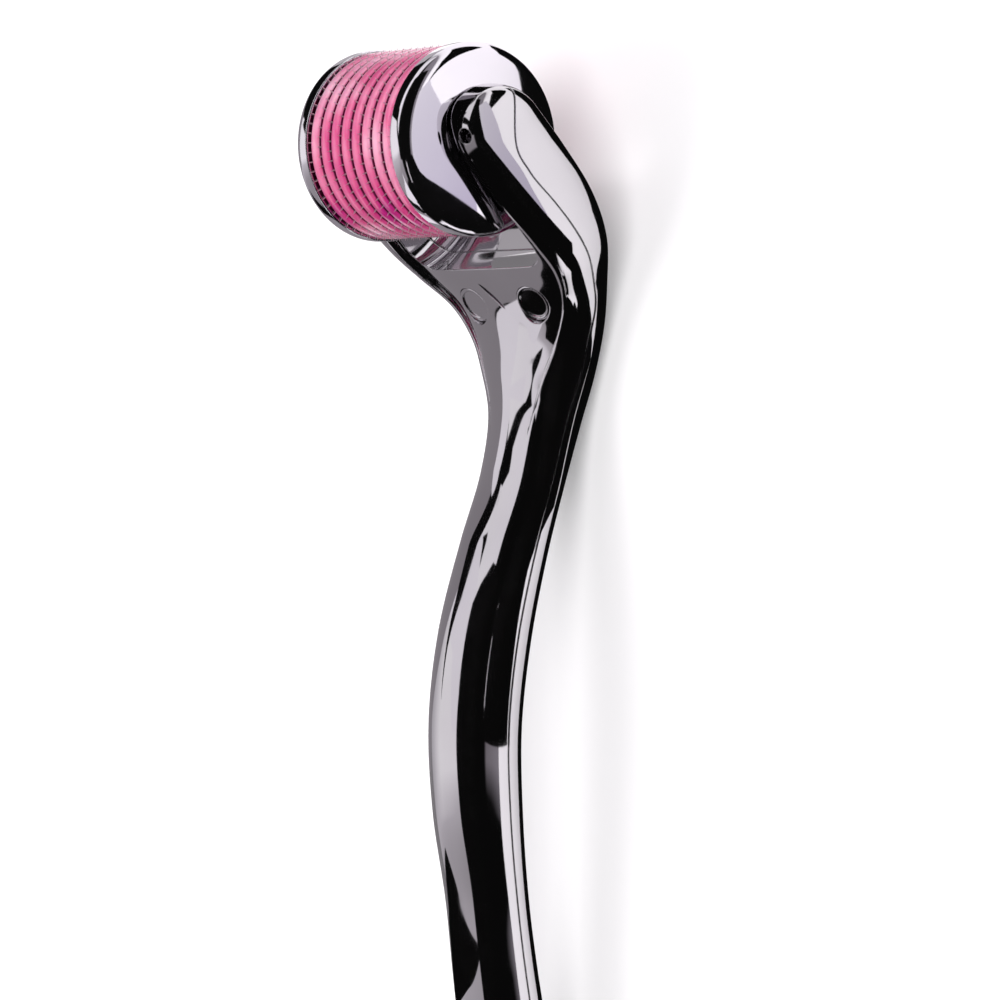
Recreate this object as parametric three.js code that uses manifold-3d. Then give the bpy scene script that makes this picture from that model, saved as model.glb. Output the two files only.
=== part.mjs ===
// Derma roller: a needle drum that spins on an axle between the two arms of a curved, plated handle.
//
// Millimetres, +Z up. The roller lies on the back of its handle with the needles up: +X runs along
// the handle towards the drum, +Y to the left, and the origin is under the middle of the whole part.
// While a piece is being shaped its numbers are measured from the middle of the drum: "ahead" is
// along +X, "above" along +Z and "out" along the axle.

import * as THREE from "three";
import { mergeVertices } from "three/addons/utils/BufferGeometryUtils.js";
import Module from "manifold-3d";

const wasm = await Module();
wasm.setup();

// ---------------------------------------------------------------- driving dimensions

const drum = {
  rows: 9, // rings of needles
  pitch: 1.96, // from one row to the next
  needlesPerRow: 60,
  tipRadius: 11.0,
  rootRadius: 10.25, // bottom of the teeth that stand for the needles
  ringThickness: 0.3,
  spacerCrown: 10.7, // highest part of a spacer's rim
  spacerEdge: 10.35, // rim beside the needles
  coreRadius: 5.0,
  coreFlat: 4.2, // the two flats that key the stack to the core
  coreReach: 9.0, // the core enters both end caps
};

const cap = {
  radius: 10.9,
  inner: 8.03, // face against the outermost row
  chamfer: 0.15, // on the edge beside the needles
  rimEnd: 9.25, // where the straight rim turns into the rounded edge
  roundOut: 1.47, // the rounded edge, along the axle and towards it
  roundIn: 1.75,
  crown: 11.5, // highest point of the face, at the axle
};

const axle = { radius: 1.5, reach: 14.4, chamfer: 0.3 };
const bore = { radius: 1.56 }; // running bore of the drum on the axle
const socket = { radius: 1.6, reach: 14.6 }; // seats of the axle's ends in the arms

const fork = {
  inside: 11.75, // inner plane of each arm
  slotRadius: 16.1, // floor of the slot, round the axle
  slotCorner: 3.0, // rounding where the floor meets the arms
  tipReach: 6.0, // how far the rounded end of each arm stands ahead of the axle
  shoulder: 1.5, // width of the rounded shoulder beside the front's raised border
};

const handle = {
  length: 150, // from the needle tips to the tail
  wall: 1.7,
  rest: 20.4, // depth of the plane it lies on, below the axle
  tailRound: 6.5, // length of the rounded tail end
  cavityFrom: 6.5, // cavity starts this far from the tail's end
  cavityTo: -29.5,
  seamGap: 0.1,
};

const plug = { radius: 2.28, thickness: 1.0, spread: 5.5, ahead: -18.05, above: -11.03, lean: 33.5 };
const plugFit = 0.06; // clearance round and under a plug
const screw = { headRadius: 1.75, headDepth: 1.3, shankRadius: 0.95, length: 4.6, slot: 0.5 };
const screwFit = 0.1;

const pinHole = { radius: 0.82, out: 14.1, bottom: 3.0, length: 8 };

// The slanting notch between the plugs: its place up the neck and to the left, in the neck's face.
const notch = { length: 4.4, width: 0.5, depth: 0.35, up: 1.2, left: 1.15, turn: -53 };

const stackGap = 0.02; // between neighbours in the drum's stack
const fitGap = 0.06; // between the keyed bores and the core

const tail = drum.tipRadius - handle.length;

// Sections of the handle from the tail to the fork tip. Each holds the section's place
// (ahead, above), the handle's slope there in degrees, its half width, its depth in front of
// and behind that place, how square it is (2 is an ellipse), and how far from the middle and
// how deep the front steps down inside its raised border.
const stations = [
  [tail, -16.5, 9, 6.1, 3.9, 3.9, 2.2, 3, 0],
  [-131, -15.2, 9, 6.6, 4.3, 5.35, 2.3, 3, 0],
  [-118, -13.5, 8, 6.5, 4.3, 4.4, 2.3, 3, 0],
  [-105, -11.5, 9, 6.2, 4.1, 4.1, 2.3, 3, 0],
  [-94, -9.7, 9, 5.9, 3.8, 3.8, 2.3, 3, 0],
  [-86, -8.6, 7, 5.8, 3.7, 3.7, 2.3, 3, 0],
  [-76, -7.3, 3, 6.2, 4.1, 4.0, 2.3, 3, 0],
  [-66, -6.9, -2, 6.4, 4.2, 4.2, 2.3, 3, 0],
  [-56, -8.2, -10, 6.4, 4.15, 4.25, 2.3, 3, 0],
  [-46, -10.9, -18, 6.2, 3.75, 4.0, 2.3, 3, 0],
  [-38, -13.6, -18, 6.1, 3.5, 3.8, 2.3, 3.2, 0],
  [-31, -15.4, -10, 6.5, 4.1, 4.3, 2.3, 4.0, 0.12],
  [-26, -16.0, -1, 8.0, 4.8, 4.7, 2.4, 5.6, 0.3],
  [-21.2, -15.9, 12, 9.9, 4.9, 4.8, 2.6, 7.7, 0.55],
  [-16.8, -14.6, 25, 12.2, 4.8, 4.8, 3.0, 9.9, 0.85],
  [-12.6, -12.2, 36, 14.9, 5.3, 5.1, 3.8, 12.0, 1.0],
  [-8.9, -9.0, 43, 16.1, 5.6, 5.8, 4.6, 12.7, 1.1],
  [-4.5, -4.5, 44, 16.6, 5.4, 6.3, 5.0, 12.3, 1.3],
  [0, 0, 42, 16.65, 5.2, 6.6, 5.0, 11.8, 1.5],
];

// The line along which the front and back shells meet on the arms; below the neck it is the
// middle of the handle's own sections.
const armSeam = [
  [-17.6, -15.2], [-13.5, -12.2], [-10.3, -9.2], [-7.1, -5.7], [-3.8, -2.0], [0, 0], [9, -0.7],
];
const neckStation = 14; // stations before this one give the seam its line

// ---------------------------------------------------------------- solids

function solid(geometry) {
  const bare = geometry.index ? geometry.toNonIndexed() : geometry.clone();
  bare.deleteAttribute("normal");
  bare.deleteAttribute("uv");
  const merged = mergeVertices(bare, 1e-4);
  return new wasm.Manifold(new wasm.Mesh({
    numProp: 3,
    vertProperties: new Float32Array(merged.attributes.position.array),
    triVerts: new Uint32Array(merged.index.array),
  }));
}

function surface(body) {
  const mesh = body.getMesh();
  const geometry = new THREE.BufferGeometry();
  geometry.setAttribute("position", new THREE.BufferAttribute(new Float32Array(mesh.vertProperties), 3));
  geometry.setIndex(new THREE.BufferAttribute(new Uint32Array(mesh.triVerts), 1));
  const faceted = geometry.toNonIndexed();
  faceted.computeVertexNormals();
  return faceted;
}

// The same profile on the left (1) or right (-1) side of the part.
function onSide(profile, side) {
  return side > 0 ? profile : profile.map(([out, radius]) => [-out, radius]).reverse();
}

// A closed profile of [out, radius] points, turned round the axle.
function turned(profile, segments) {
  const points = profile.map(([out, radius]) => new THREE.Vector2(radius, out));
  points.push(points[0].clone());
  return new THREE.LatheGeometry(points, segments);
}

// A side outline of [ahead, above] points, carried across the width of the part.
function acrossSolid(outline, halfWidth) {
  const shape = new THREE.Shape(outline.map(([ahead, above]) => new THREE.Vector2(ahead, above)));
  const geometry = new THREE.ExtrudeGeometry(shape, { depth: 2 * halfWidth, bevelEnabled: false });
  geometry.rotateX(Math.PI / 2);
  geometry.translate(0, halfWidth, 0);
  return solid(geometry);
}

// A skin over rings of points, closed at both ends by a fan round the middle of the last ring.
function loft(rings) {
  const count = rings[0].length;
  const points = rings.flat();
  const triangles = [];
  for (let r = 0; r < rings.length - 1; r++) {
    for (let i = 0; i < count; i++) {
      const a = r * count + i;
      const b = r * count + (i + 1) % count;
      triangles.push(a, b, a + count, b, b + count, a + count);
    }
  }
  const lastRing = (rings.length - 1) * count;
  for (const [start, flip] of [[0, true], [lastRing, false]]) {
    const middle = new THREE.Vector3();
    for (let i = 0; i < count; i++) middle.addScaledVector(points[start + i], 1 / count);
    const hub = points.push(middle) - 1;
    for (let i = 0; i < count; i++) {
      const a = start + i;
      const b = start + (i + 1) % count;
      if (flip) triangles.push(hub, b, a);
      else triangles.push(hub, a, b);
    }
  }
  const geometry = new THREE.BufferGeometry().setFromPoints(points);
  geometry.setIndex(triangles);
  return geometry;
}

function cylinderAt(radius, length, segments) {
  return new THREE.CylinderGeometry(radius, radius, length, segments);
}

// ---------------------------------------------------------------- handle skin

const degrees = Math.PI / 180;

const stationPlace = [0];
for (let i = 1; i < stations.length; i++) {
  const step = Math.hypot(stations[i][0] - stations[i - 1][0], stations[i][1] - stations[i - 1][1]);
  stationPlace.push(stationPlace[i - 1] + step);
}
const spineLength = stationPlace[stationPlace.length - 1];
const skin = new THREE.CubicInterpolant(stationPlace, stations.flat(), stations[0].length);

function sectionAt(place) {
  const [ahead, above, slope, halfWidth, front, back, squareness, crease, step] = skin.evaluate(place);
  return { ahead, above, slope: slope * degrees, halfWidth, front, back, squareness, crease, step };
}

// How far the front stands forward at a distance out from the middle: a rounded square, stepped
// down inside the crease and rising to its full height over a round shoulder.
function frontReach(section, out) {
  const { halfWidth, front, squareness, crease, step } = section;
  const full = front * (1 - Math.min(out / halfWidth, 1) ** squareness) ** (1 / squareness);
  const shoulder = Math.min(fork.shoulder, 0.4 * (halfWidth - crease));
  const rise = THREE.MathUtils.clamp((out - crease) / shoulder, 0, 1);
  return full - Math.max(step, 0) * (1 - Math.sqrt(1 - (1 - rise) ** 2));
}

// Half of a section's outline, from the middle of the back round to the middle of the front, as
// [out, reach] points.
function halfOutline(section) {
  const { halfWidth, back, squareness, crease } = section;
  const power = 2 / squareness;
  const backTurns = [90, 60, 38, 20, 6];
  const outline = backTurns.map((turn) => [
    halfWidth * Math.cos(turn * degrees) ** power,
    -back * Math.sin(turn * degrees) ** power,
  ]);
  outline[0][0] = 0;
  const shoulder = Math.min(fork.shoulder, 0.4 * (halfWidth - crease));
  const shoulderTurn = Math.acos(((crease + shoulder) / halfWidth) ** (1 / power));
  for (const part of [0.12, 0.4, 0.7, 1]) {
    const out = halfWidth * Math.cos(part * shoulderTurn) ** power;
    outline.push([out, frontReach(section, out)]);
  }
  for (const part of [0.4, 0.1, 0]) {
    const out = crease + part * shoulder;
    outline.push([out, frontReach(section, out)]);
  }
  for (const part of [0.55, 0]) outline.push([part * crease, frontReach(section, part * crease)]);
  return outline;
}

// A closed outline turned into a ring of points across the handle, moved "along" it; "taper"
// scales its depth and "narrow" its width.
function placeRing(section, outline, { taper = 1, narrow = 1, along = 0 } = {}) {
  const forward = new THREE.Vector3(Math.cos(section.slope), 0, Math.sin(section.slope));
  const up = new THREE.Vector3(-forward.z, 0, forward.x);
  const middle = new THREE.Vector3(section.ahead, 0, section.above).addScaledVector(forward, along);
  return outline.map(([out, reach]) => {
    const point = middle.clone().addScaledVector(up, reach * taper);
    point.y = out * narrow;
    return point;
  });
}

function skinRing(section, move) {
  const half = halfOutline(section);
  const mirrored = half.slice(1, -1).reverse().map(([out, reach]) => [-out, reach]);
  return placeRing(section, [...half, ...mirrored], move);
}

// A plain ring that runs inside the skin at the depth of the wall.
function innerRing(section, count) {
  const power = 2 / section.squareness;
  const outline = [];
  for (let i = 0; i < count; i++) {
    const turn = 2 * Math.PI * (i + 0.5) / count;
    const c = Math.cos(turn);
    const s = Math.sin(turn);
    const depth = (s > 0 ? section.front : section.back) - handle.wall;
    outline.push([
      (section.halfWidth - handle.wall) * Math.sign(c) * Math.abs(c) ** power,
      depth * Math.sign(s) * Math.abs(s) ** power,
    ]);
  }
  return placeRing(section, outline);
}

function outerSkin() {
  const neckLength = 45; // from the axle back to where the sections stop changing quickly
  const rings = [];
  for (const part of [0.05, 0.25, 0.6]) {
    const round = Math.sqrt(1 - (1 - part) ** 2);
    rings.push(skinRing(sectionAt(part * handle.tailRound), { taper: round, narrow: round }));
  }
  for (let place = handle.tailRound; place < spineLength - neckLength; place += 6.2) {
    rings.push(skinRing(sectionAt(place)));
  }
  const neckRings = 12;
  for (let i = 0; i <= neckRings; i++) {
    rings.push(skinRing(sectionAt(spineLength - neckLength * (1 - i / neckRings))));
  }
  const tip = sectionAt(spineLength);
  for (const angle of [28, 54, 78]) {
    const taper = Math.cos(angle * degrees);
    const narrow = 0.9 + 0.1 * taper;
    const along = fork.tipReach * Math.sin(angle * degrees);
    rings.push(skinRing(tip, { taper, narrow, along }));
  }
  return solid(loft(rings));
}

function cavity() {
  const rings = [];
  const end = stationPlace[stations.findIndex(([ahead]) => ahead > handle.cavityTo) - 1];
  for (let place = handle.cavityFrom; place < end; place += 7.2) {
    rings.push(innerRing(sectionAt(place), 14));
  }
  return solid(loft(rings));
}

// ---------------------------------------------------------------- cuts in the handle

// The slot that holds the drum: a drum-shaped space round the axle with rounded corners.
function slotCutter() {
  const profile = [[-fork.inside, 0]];
  const corner = [];
  for (const angle of [0, 30, 60, 90]) {
    const out = fork.inside - fork.slotCorner * (1 - Math.cos(angle * degrees));
    const radius = fork.slotRadius - fork.slotCorner * (1 - Math.sin(angle * degrees));
    corner.push([out, radius]);
  }
  for (const [out, radius] of corner) profile.push([-out, radius]);
  for (const [out, radius] of [...corner].reverse()) profile.push([out, radius]);
  profile.push([fork.inside, 0]);
  return solid(turned(profile, 48));
}

function axleCutter() {
  return solid(cylinderAt(socket.radius, 2 * socket.reach, 24));
}

// Everything in front of the seam between the shells, or everything behind it.
function seamSide(front) {
  const lift = (front ? 1 : -1) * handle.seamGap / 2;
  const tailPoint = [tail - 5, stations[0][1] - 0.8];
  const line = [tailPoint, ...stations.slice(1, neckStation), ...armSeam];
  const curve = new THREE.SplineCurve(
    line.map(([ahead, above]) => new THREE.Vector2(ahead, above + lift)),
  );
  const far = (front ? 1 : -1) * 40;
  const outline = curve.getPoints(34).map((point) => [point.x, point.y]);
  outline.push([outline[outline.length - 1][0] + 1, far], [tailPoint[0], far]);
  return acrossSolid(outline, 25);
}

function restCutter() {
  const block = new THREE.BoxGeometry(2 * handle.length, 60, 20);
  block.translate(-handle.length / 2, 0, -handle.rest - 10);
  return solid(block);
}

// ---------------------------------------------------------------- plugs and screws

// Places a geometry whose +Y axis points out of the neck's front face, at a depth below the face.
function atPlug(geometry, side, depth) {
  geometry.translate(0, -depth, 0);
  geometry.rotateX(Math.PI / 2);
  geometry.rotateY(-plug.lean * degrees);
  geometry.translate(plug.ahead, side * plug.spread, plug.above);
  return geometry;
}

function plugGeometry() {
  const { radius, thickness } = plug;
  const points = [
    [0, -thickness], [radius - 0.15, -thickness], [radius, -thickness + 0.15],
    [radius, -0.12], [radius - 0.14, 0], [radius - 0.5, 0], [radius - 0.62, -0.1], [0, -0.1],
  ];
  return new THREE.LatheGeometry(points.map(([r, y]) => new THREE.Vector2(r, y)), 18);
}

function screwSolid() {
  const { headRadius, headDepth, shankRadius, length } = screw;
  const points = [
    [0, -length], [0.35, -length], [shankRadius, -length + 0.9], [shankRadius, -headDepth],
    [headRadius, -headDepth + 0.15], [headRadius, -0.2], [headRadius - 0.2, 0], [0, 0],
  ];
  const body = solid(new THREE.LatheGeometry(points.map(([r, y]) => new THREE.Vector2(r, y)), 16));
  const bar = (turn) => {
    const slot = new THREE.BoxGeometry(2 * headRadius * 0.68, 1.2, screw.slot);
    slot.rotateY(turn);
    return solid(slot);
  };
  return body.subtract(bar(0)).subtract(bar(Math.PI / 2));
}

function plugCutter(side) {
  const pocketDepth = plug.thickness + plugFit;
  const height = 4;
  const pocket = cylinderAt(plug.radius + plugFit, height, 18);
  const headDepth = pocketDepth + screw.headDepth + screwFit;
  const head = cylinderAt(screw.headRadius + screwFit, headDepth + 0.5, 14);
  const shankDepth = pocketDepth + screw.length + screwFit;
  const shank = cylinderAt(screw.shankRadius + screwFit, shankDepth + 0.5, 10);
  return solid(atPlug(pocket, side, pocketDepth - height / 2))
    .add(solid(atPlug(head, side, headDepth / 2 - 0.25)))
    .add(solid(atPlug(shank, side, shankDepth / 2 - 0.25)));
}

function pinHoleCutter(side) {
  const hole = cylinderAt(pinHole.radius, pinHole.length, 12);
  hole.rotateX(Math.PI / 2);
  hole.translate(0, side * pinHole.out, pinHole.bottom + pinHole.length / 2);
  return solid(hole);
}

// A long thin lens that marks the neck's face between the plugs.
function notchCutter() {
  const lens = new THREE.SphereGeometry(0.5, 8, 10);
  lens.scale(notch.width, notch.length, 2 * notch.depth);
  lens.rotateX(Math.PI / 2);
  lens.rotateY(notch.turn * degrees);
  lens.translate(notch.up, 0, -notch.left);
  return solid(atPlug(lens, 0, 0));
}

// ---------------------------------------------------------------- drum

// The keyed shape of the core, as a side outline round the axle.
function coreOutline(grow) {
  const radius = drum.coreRadius + grow;
  const flat = drum.coreFlat + grow;
  const swing = Math.acos(flat / radius);
  const outline = [];
  for (const centre of [Math.PI / 2, 3 * Math.PI / 2]) {
    const span = Math.PI / 2 - swing;
    for (let i = 0; i <= 6; i++) {
      const angle = centre - span + 2 * span * i / 6;
      outline.push([radius * Math.cos(angle), radius * Math.sin(angle)]);
    }
  }
  return outline;
}

function hubCore() {
  return acrossSolid(coreOutline(0), drum.coreReach).subtract(boreCutter());
}

function boreCutter() {
  return solid(cylinderAt(bore.radius, 40, 24));
}

function keyCutter() {
  return acrossSolid(coreOutline(fitGap), 40);
}

function spacerDisc(out, key) {
  const half = (drum.pitch - drum.ringThickness) / 2 - stackGap;
  const { spacerCrown, spacerEdge } = drum;
  const profile = [
    [out - half, 0], [out - half, spacerEdge], [out - 0.45 * half, spacerCrown],
    [out + 0.45 * half, spacerCrown], [out + half, spacerEdge], [out + half, 0],
  ];
  return solid(turned(profile, 32)).subtract(key);
}

function needleRing(out, key) {
  const outline = [];
  const points = 2 * drum.needlesPerRow;
  for (let i = 0; i < points; i++) {
    const radius = i % 2 ? drum.rootRadius : drum.tipRadius;
    const angle = 2 * Math.PI * i / points;
    outline.push([radius * Math.cos(angle), radius * Math.sin(angle)]);
  }
  return acrossSolid(outline, drum.ringThickness / 2).translate([0, out, 0]).subtract(key);
}

// One end cap: flat inside, a short straight rim, a rounded shoulder and a gently domed face.
function endCap(side) {
  const { radius, inner, chamfer, rimEnd, roundOut, roundIn, crown } = cap;
  const profile = [[inner, 0], [inner, radius - chamfer], [inner + chamfer, radius]];
  for (const angle of [0, 26, 52, 78]) {
    profile.push([
      rimEnd + roundOut * Math.sin(angle * degrees),
      radius - roundIn * (1 - Math.cos(angle * degrees)),
    ]);
  }
  const [faceOut, faceRadius] = profile[profile.length - 1];
  for (const part of [0.66, 0.33]) {
    profile.push([crown - (crown - faceOut) * part * part, faceRadius * part]);
  }
  profile.push([crown, 0]);
  const pocket = acrossSolid(coreOutline(fitGap), drum.coreReach + fitGap);
  return solid(turned(onSide(profile, side), 40)).subtract(pocket).subtract(boreCutter());
}

function axleSolid() {
  const { radius, reach, chamfer } = axle;
  const profile = [
    [-reach, 0], [-reach, radius - chamfer], [-reach + chamfer, radius],
    [reach - chamfer, radius], [reach, radius - chamfer], [reach, 0],
  ];
  return solid(turned(profile, 24));
}

// ---------------------------------------------------------------- assembly

const blackChrome = { color: 0x77737a, roughness: 0.08, metalness: 1.0 };
const capChrome = { color: 0xb9b4c0, roughness: 0.1, metalness: 1.0 };
const pinkPlastic = { color: 0xe0559c, roughness: 0.2, metalness: 0.0 };
const needleSteel = { color: 0xd8dadd, roughness: 0.25, metalness: 1.0 };
const axleSteel = { color: 0xa9abae, roughness: 0.3, metalness: 1.0 };
const corePlastic = { color: 0xe9e3e6, roughness: 0.4, metalness: 0.0 };

const roller = new THREE.Group();

function add(name, body, look) {
  const mesh = new THREE.Mesh(surface(body), new THREE.MeshStandardMaterial(look));
  mesh.name = name;
  roller.add(mesh);
}

const sides = [["left", 1], ["right", -1]];

let body = outerSkin();
body = body.subtract(slotCutter()).subtract(cavity()).subtract(axleCutter()).subtract(restCutter());
for (const [, side] of sides) body = body.subtract(plugCutter(side)).subtract(pinHoleCutter(side));
body = body.subtract(notchCutter());

add("front_shell", body.intersect(seamSide(true)), blackChrome);
add("back_shell", body.intersect(seamSide(false)), blackChrome);

for (const [name, side] of sides) {
  add(`neck_plug_${name}`, solid(atPlug(plugGeometry(), side, 0)), blackChrome);
  const seated = surface(screwSolid());
  add(`shell_screw_${name}`, solid(atPlug(seated, side, plug.thickness + 2 * plugFit)), axleSteel);
}

add("axle", axleSolid(), axleSteel);
add("hub_core", hubCore(), corePlastic);

const key = keyCutter();
const firstRow = -drum.pitch * (drum.rows - 1) / 2;
for (let i = 0; i < drum.rows; i++) {
  add(`needle_ring_${i + 1}`, needleRing(firstRow + i * drum.pitch, key), needleSteel);
}
for (let i = 0; i < drum.rows - 1; i++) {
  add(`spacer_disc_${i + 1}`, spacerDisc(firstRow + (i + 0.5) * drum.pitch, key), pinkPlastic);
}
for (const [name, side] of sides) add(`end_cap_${name}`, endCap(side), capChrome);

const box = new THREE.Box3().setFromObject(roller);
const centre = box.getCenter(new THREE.Vector3());
roller.position.set(-centre.x, -centre.y, -box.min.z);

export default roller;
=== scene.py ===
"""Derma roller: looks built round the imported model.

The roller lies on the back of its handle, needles up, with +X towards the drum. Shapes are worked
out in millimetres from the middle of the drum ("ahead" along +X, "out" along +Y, "above" along +Z)
and then put in place, in metres, round the axle of the frame.
"""

import math

import bmesh
import bpy
import numpy as np
from mathutils import Matrix, Vector


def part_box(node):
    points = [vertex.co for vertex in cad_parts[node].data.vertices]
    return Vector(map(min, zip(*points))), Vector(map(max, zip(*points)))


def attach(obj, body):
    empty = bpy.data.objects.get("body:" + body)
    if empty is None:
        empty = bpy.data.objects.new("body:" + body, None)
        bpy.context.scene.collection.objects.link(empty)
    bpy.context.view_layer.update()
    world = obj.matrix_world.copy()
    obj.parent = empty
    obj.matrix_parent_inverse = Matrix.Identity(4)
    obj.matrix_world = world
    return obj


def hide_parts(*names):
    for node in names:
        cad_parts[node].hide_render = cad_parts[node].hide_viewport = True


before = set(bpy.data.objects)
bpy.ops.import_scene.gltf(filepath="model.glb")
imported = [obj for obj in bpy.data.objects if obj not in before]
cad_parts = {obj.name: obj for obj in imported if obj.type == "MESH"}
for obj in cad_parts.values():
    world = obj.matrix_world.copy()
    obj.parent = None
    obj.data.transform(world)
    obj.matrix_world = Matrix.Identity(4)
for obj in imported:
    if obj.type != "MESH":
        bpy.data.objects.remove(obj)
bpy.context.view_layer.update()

MM = 0.001
SIDES = (("left", 1), ("right", -1))

# ------------------------------------------------------------------ places from the frame

axle_low, axle_high = (Vector(c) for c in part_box("axle"))
AXLE = (axle_low + axle_high) / 2
PLACE = Matrix.Translation(AXLE) @ Matrix.Scale(MM, 4)

# ------------------------------------------------------------------ driving dimensions, mm

ROWS = 9
PITCH = 1.96  # from one needle row to the next
SPACER_CROWN = 10.7  # radius of a disc in its middle
SPACER_EDGE = 10.3  # and at its flanks
GROOVE = 0.32  # width between two discs, where a needle row stands
ROW_GAP = 0.04  # between a row and the disc beside it
ROW_FLOOR = 9.75

NEEDLES_PER_ROW = 60
NEEDLE_SIDES = 6
NEEDLE_RADIUS = 0.1
NEEDLE_TAPER = 0.85  # its radius at the shoulder, as a part of the radius at its foot
NEEDLE_FOOT = ROW_FLOOR - 0.1
NEEDLE_SHOULDER = SPACER_CROWN - 0.15
TIP_RADIUS = 11.0

AXLE_HOLE = 1.55  # radius, clear of the axle
CORE_HOLE = 5.05  # radius, clear of the core that carries the discs and rows
CORE_END = 9.05  # how far out the core reaches into the caps, from the drum's middle

CAP_RADIUS = 10.9
CAP_INNER = 8.03
CAP_INNER_ROUND = 0.15  # on the edge beside the needles
CAP_RIM_END = 9.25
CAP_SHOULDER = 10.72
CAP_SHOULDER_RADIUS = 9.15
CAP_CROWN = 11.5
CAP_EDGE_END = 12  # degrees, where the rounded edge runs into the domed face
CAP_FACE = (0.95, 0.17)  # the domed face's first and last point, as parts of its radius
CAP_DIMPLE = 0.4  # depth of the dimple round the axle

FORK_INSIDE = 11.75
SLOT_RADIUS = 16.1
SLOT_CORNER = 3.0
REST = 20.4  # height of the axle over the floor
SEAM = 0.14  # gap between the two shells
SEAM_START = (-144, -17.3)  # behind the tail
SEAM_STEPS = 12  # between two points of the seam's line
SEAM_REACH = 40  # the cutters along the seam reach this far above and below the axle
SEAM_HALF_WIDTH = 25
TIP_REACH = 6.0
TIP_NARROWING = 0.1  # how much of an arm's width is lost over its rounded end
TIP_TURN = (6, 86)  # first and last ring of an arm's rounded end, degrees
TAIL_ROUND = 6.5  # length of the tail's round end
TAIL_PARTS = (0.02, 0.96)  # its first and last ring, as parts of that length
TAIL_CROWDING = 1.6  # how strongly these rings draw together towards the end

PLUG_RADIUS = 2.28
PLUG_DEPTH = 1.0
PLUG_BEVEL = 0.1
PLUG_SIDE_TOP = -0.1  # the straight side ends here, under the bead
PLUG_BEAD = 0.12  # radius of the raised bead round the face
PLUG_BEAD_LEVEL = -0.08
PLUG_BEAD_INNER = 0.34  # from the plug's side to the middle of the bead's inner rounding
PLUG_DISH = ((0.5, -0.14), (1.2, -0.13), (PLUG_RADIUS, -0.12))  # in from the side, level
PLUG_SPREAD = 5.5  # from the middle out to each plug
PLUG_PLACE = (-18.05, -11.03)  # ahead, above
PLUG_LEAN = math.radians(33.5)
PLUG_TILT = math.radians(8.5)  # the right one sits a little skew, so it reflects the dark
POCKET_GAP = 0.07
POCKET_DEPTH = 1.1
POCKET_TOP = 3  # the cutter ends clear of the neck's face
SLASH_LENGTH = 4.4
SLASH_RADIUS = 0.3
SLASH_POINTS = 48
SLASH_STRETCH = (0.8, 1, 2)  # thinner across, twice as deep
SLASH_PLACE = (1.2, 1.15)  # towards the drum and to the left, from midway between the plugs
SLASH_TURN = -53  # degrees
PIN_HOLE_RADIUS = 0.82
PIN_HOLE_OUT = 14.1
PIN_HOLE_BOTTOM = 3.0
PIN_HOLE_TOP = 12  # the cutter ends clear of the arm

# How finely shapes are divided.
FINE_SEGMENTS = 256  # the slot and the caps
DISC_SEGMENTS = 192
ROW_SEGMENTS = 120
PLUG_SEGMENTS = 72
HOLE_SEGMENTS = 48
SLASH_SEGMENTS = 24
SLOT_STEPS = 12  # the steps in a rounding: of the slot's corners,
CROWN_STEPS = 16  # over a disc,
BEAD_STEPS = 5  # in half of a plug's bead
CAP_INNER_STEPS = 4  # and of a cap's two edges
CAP_EDGE_STEPS = 20
CAP_FACE_POINTS = 14
RING_STEP = 0.55  # from one ring of the handle to the next, mm
TAIL_RINGS = 14
TIP_RINGS = 15
BACK_POINTS = 28  # in half a section's back
OUTER_POINTS = 16  # in half a section's front, outside the shoulder
SHOULDER_POINTS = 11  # on the shoulder
PANEL_POINTS = 14  # and inside the crease
SHOULDER_CROWDING = 1.5  # how strongly the shoulder's points draw together towards the crease

# Sections of the handle from the tail to the fork's tips: ahead, above, slope in degrees, half
# width, depth in front and behind, squareness (2 is an ellipse), how far out from the middle the
# crease runs and how deep the front steps down inside it.
STATIONS = np.array([
    (-139, -16.5, 9, 6.1, 3.9, 3.9, 2.2, 3, 0),
    (-131, -15.2, 9, 6.6, 4.3, 5.35, 2.3, 3, 0),
    (-118, -13.5, 8, 6.5, 4.3, 4.4, 2.3, 3, 0),
    (-105, -11.5, 9, 6.2, 4.1, 4.1, 2.3, 3, 0),
    (-94, -9.7, 9, 5.9, 3.8, 3.8, 2.3, 3, 0),
    (-86, -8.6, 7, 5.8, 3.7, 3.7, 2.3, 3, 0),
    (-76, -7.3, 3, 6.2, 4.1, 4.0, 2.3, 3, 0),
    (-66, -6.9, -2, 6.4, 4.2, 4.2, 2.3, 3, 0),
    (-56, -8.2, -10, 6.4, 4.15, 4.25, 2.3, 3, 0),
    (-46, -10.9, -18, 6.2, 3.75, 4.0, 2.3, 3, 0),
    (-38, -13.6, -18, 6.1, 3.5, 3.8, 2.3, 3.2, 0),
    (-31, -15.4, -10, 6.5, 4.1, 4.3, 2.3, 4.0, 0.12),
    (-26, -16.0, -1, 8.0, 4.8, 4.7, 2.4, 5.6, 0.3),
    (-21.2, -15.9, 12, 9.9, 4.9, 4.8, 2.6, 7.7, 0.55),
    (-16.8, -14.6, 25, 12.2, 4.8, 4.8, 3.0, 9.9, 0.85),
    (-12.6, -12.2, 36, 14.9, 5.3, 5.1, 3.8, 12.0, 1.0),
    (-8.9, -9.0, 43, 16.1, 5.6, 5.8, 4.6, 12.7, 1.1),
    (-4.5, -4.5, 44, 16.6, 5.4, 6.3, 5.0, 12.3, 1.3),
    (0, 0, 42, 16.65, 5.2, 6.6, 5.0, 11.8, 1.5),
])
SHOULDER = 1.5  # how far the round inner shoulder of an arm reaches from its crease
SHOULDER_SHARE = 0.4  # or this part of the width outside the crease, where that is less
FRONT_START = 0.06  # radians past the side of a section, where its front's points begin
CORNER_SPREAD = 0.055  # how far a square section's points are moved towards its corners

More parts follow.
